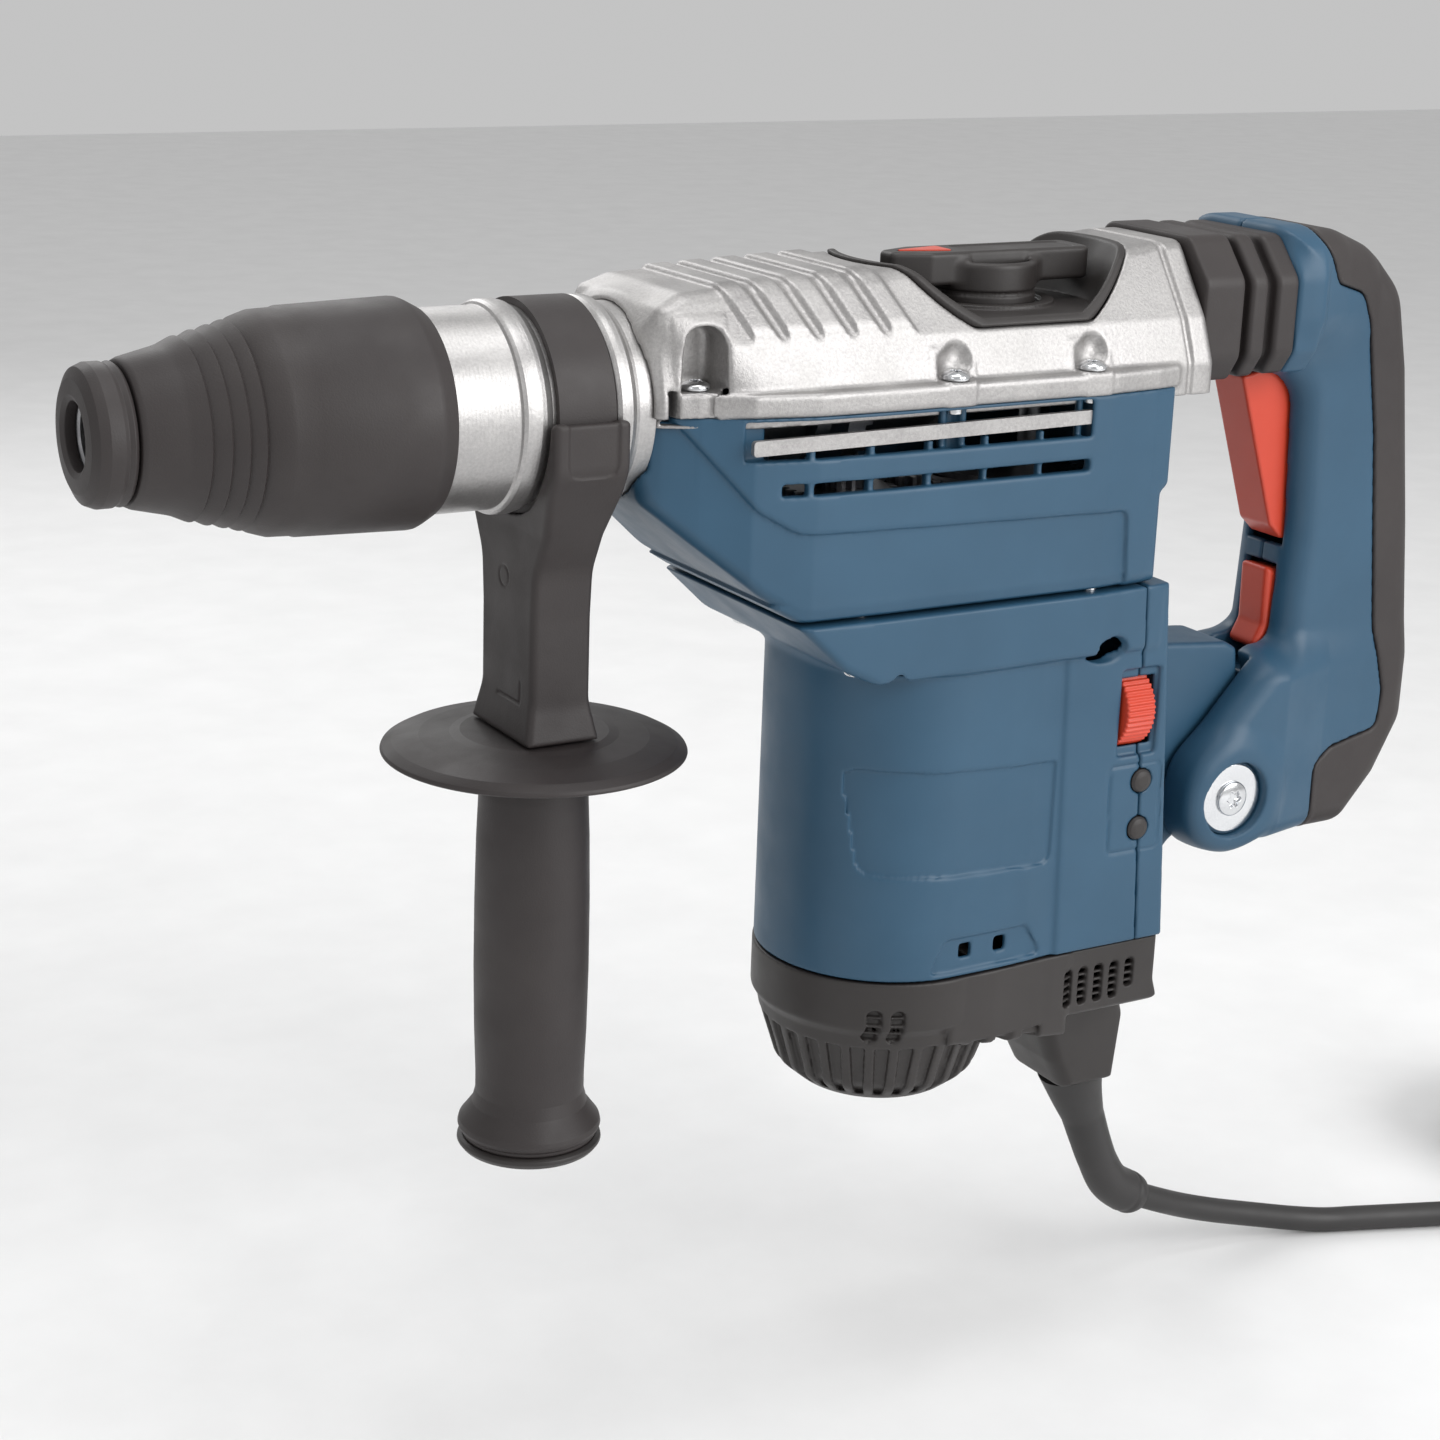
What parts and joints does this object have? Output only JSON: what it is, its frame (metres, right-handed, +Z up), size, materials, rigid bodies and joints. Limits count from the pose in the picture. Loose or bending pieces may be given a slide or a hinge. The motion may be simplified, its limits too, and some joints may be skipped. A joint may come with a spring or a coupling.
{
  "type": "rotary hammer",
  "caption": "Corded rotary hammer with a spring-mounted D handle, a clamp-on side handle, an upright motor and a chuck for grooved hammer shanks.",
  "frame": {"origin": "middle of the rear D handle's grip, in the tool's plane of symmetry, 56 mm below the barrel axis", "axes": "+X from the nose towards the rear handle, along the barrel axis; +Z up, away from the motor; +Y towards the tool's right side as its user holds it"},
  "size_m": [0.6585, 0.109, 0.3755],
  "materials": {
    "housing_blue": "glass-filled nylon moulding, fine texture",
    "cast_alloy": "die-cast, fine matt speckle",
    "soft_black": "matt soft-grip moulding",
    "black_plastic": "fine matt texture",
    "orange_plastic": "satin",
    "bright_steel": "turned and ground",
    "hard_steel": "hardened and ground",
    "zinc_steel": "bright zinc plated",
    "spring_steel": "drawn wire",
    "machined_alloy": "turned",
    "copper": "enamelled winding wire and copper bars",
    "lamination": "stacked electrical steel",
    "carbon": "pressed carbon",
    "cord_rubber": "smooth rubber sheath",
    "fan_plastic": "moulded"
  },
  "bodies": {
    "tool": {"front_neck": "machined_alloy", "spindle_bearing": "bright_steel", "gear_bearings": "bright_steel", "gear_housing": "cast_alloy", "knob_dish": "black_plastic", "housing_screws": "zinc_steel", "gear_cover": "housing_blue", "vent_bars": "cast_alloy", "motor_housing": "housing_blue", "rear_cover": "housing_blue", "seam_screws": "zinc_steel", "indicator_lights": "black_plastic", "motor_cap": "black_plastic", "stator": "lamination", "motor_bearings": "bright_steel", "brush_holders": "black_plastic", "carbon_brushes": "carbon", "bellows": "cord_rubber", "damper_spring": "spring_steel", "pivot_sleeve": "bright_steel", "pivot_screws": "zinc_steel", "strain_relief": "cord_rubber", "cord": "cord_rubber", "cord_coil": "cord_rubber", "plug": "cord_rubber"},
    "spindle": {"nose_cap": "soft_black", "tool_holder": "hard_steel", "locking_rollers": "hard_steel", "sleeve_spring": "spring_steel", "hammer_tube": "hard_steel", "spindle_gear": "hard_steel"},
    "chuck_sleeve": {"locking_sleeve": "soft_black"},
    "rotor": {"rotor_shaft": "hard_steel", "rotor_core": "lamination", "rotor_windings": "copper", "commutator": "copper", "cooling_fan": "fan_plastic"},
    "middle_gear": {"intermediate_gear": "hard_steel"},
    "crank": {"crank_gear": "hard_steel"},
    "piston_body": {"piston": "machined_alloy", "wrist_pin": "hard_steel"},
    "conrod": {"connecting_rod": "machined_alloy", "crank_pin": "hard_steel"},
    "striker_body": {"striker": "hard_steel"},
    "beat": {"beat_piece": "hard_steel"},
    "knob": {"mode_knob": "soft_black", "knob_pointer": "orange_plastic"},
    "dial": {"speed_dial": "orange_plastic"},
    "rear_handle": {"handle_left": "housing_blue", "handle_right": "housing_blue", "handle_pad": "soft_black", "switch_module": "black_plastic"},
    "trigger_body": {"trigger": "orange_plastic"},
    "lock": {"lock_button": "orange_plastic"},
    "side_handle": {"clamp_band": "soft_black", "side_yoke": "soft_black", "clamp_bolt": "zinc_steel", "guard_disc": "soft_black"},
    "side_grip_body": {"side_grip": "soft_black", "grip_end_cap": "black_plastic"}
  },
  "joints": [
    {"name": "rotor_spin", "type": "hinge", "parent": "tool", "child": "rotor", "pos_m": [-0.176, 0, -0.064], "axis": [0, 0, 1], "continuous": true},
    {"name": "middle_gear_spin", "type": "hinge", "parent": "tool", "child": "middle_gear", "pos_m": [-0.20037, 0, 0.02], "axis": [0, 0, 1], "continuous": true},
    {"name": "crank_spin", "type": "hinge", "parent": "tool", "child": "crank", "pos_m": [-0.14037, 0, 0.02], "axis": [0, 0, 1], "continuous": true},
    {"name": "spindle_spin", "type": "hinge", "parent": "tool", "child": "spindle", "pos_m": [-0.39, 0, 0.056], "axis": [1, 0, 0], "continuous": true},
    {"name": "chuck_sleeve_slide", "type": "slide", "parent": "spindle", "child": "chuck_sleeve", "axis": [1, 0, 0], "range_m": [0, 0.01], "stiffness_N_per_m": 1500, "springref_m": -0.006, "deforming": ["sleeve_spring"]},
    {"name": "piston_slide", "type": "slide", "parent": "tool", "child": "piston_body", "axis": [1, 0, 0], "range_m": [-0.026, 0]},
    {"name": "conrod_swing", "type": "hinge", "parent": "piston_body", "child": "conrod", "pos_m": [-0.17238, 0, 0.056], "axis": [0, 0, 1], "range_deg": [-16.8, 16.8]},
    {"name": "striker_slide", "type": "slide", "parent": "tool", "child": "striker_body", "axis": [1, 0, 0], "range_m": [-0.012, 0.016]},
    {"name": "beat_piece_slide", "type": "slide", "parent": "tool", "child": "beat", "axis": [1, 0, 0], "range_m": [-0.004, 0.004]},
    {"name": "mode_knob_turn", "type": "hinge", "parent": "tool", "child": "knob", "pos_m": [-0.151, 0, 0.078], "axis": [0, 0, 1], "range_deg": [-90, 90]},
    {"name": "speed_dial_turn", "type": "hinge", "parent": "tool", "child": "dial", "pos_m": [-0.109, -0.0295, -0.049], "axis": [1, 0, 0], "range_deg": [0, 270]},
    {"name": "rear_handle_pivot", "type": "hinge", "parent": "tool", "child": "rear_handle", "pos_m": [-0.054, 0, -0.09], "axis": [0, -1, 0], "range_deg": [0, 1.8], "stiffness_Nm_per_rad": 300, "springref_deg": -1.15, "deforming": ["bellows", "damper_spring"]},
    {"name": "trigger_pull", "type": "hinge", "parent": "rear_handle", "child": "trigger_body", "pos_m": [-0.018, 0, 0.047], "axis": [0, -1, 0], "range_deg": [0, 6.5], "stiffness_Nm_per_rad": 2, "springref_deg": -2.86},
    {"name": "lock_button_press", "type": "slide", "parent": "rear_handle", "child": "lock", "axis": [1, 0, 0], "range_m": [0, 0.003], "stiffness_N_per_m": 800, "springref_m": -0.002},
    {"name": "side_handle_turn", "type": "hinge", "parent": "tool", "child": "side_handle", "pos_m": [-0.3025, 0, 0.056], "axis": [1, 0, 0], "continuous": true},
    {"name": "side_grip_turn", "type": "hinge", "parent": "side_handle", "child": "side_grip_body", "pos_m": [-0.3025, 0, -0.109], "axis": [0, 0, 1], "range_deg": [0, 360]}
  ],
  "couplings": [
    {"joint": "middle_gear_spin", "follows": "rotor_spin", "ratio": -0.39286},
    {"joint": "crank_spin", "follows": "rotor_spin", "ratio": -0.23913},
    {"joint": "spindle_spin", "follows": "rotor_spin", "ratio": 0.11786}
  ]
}
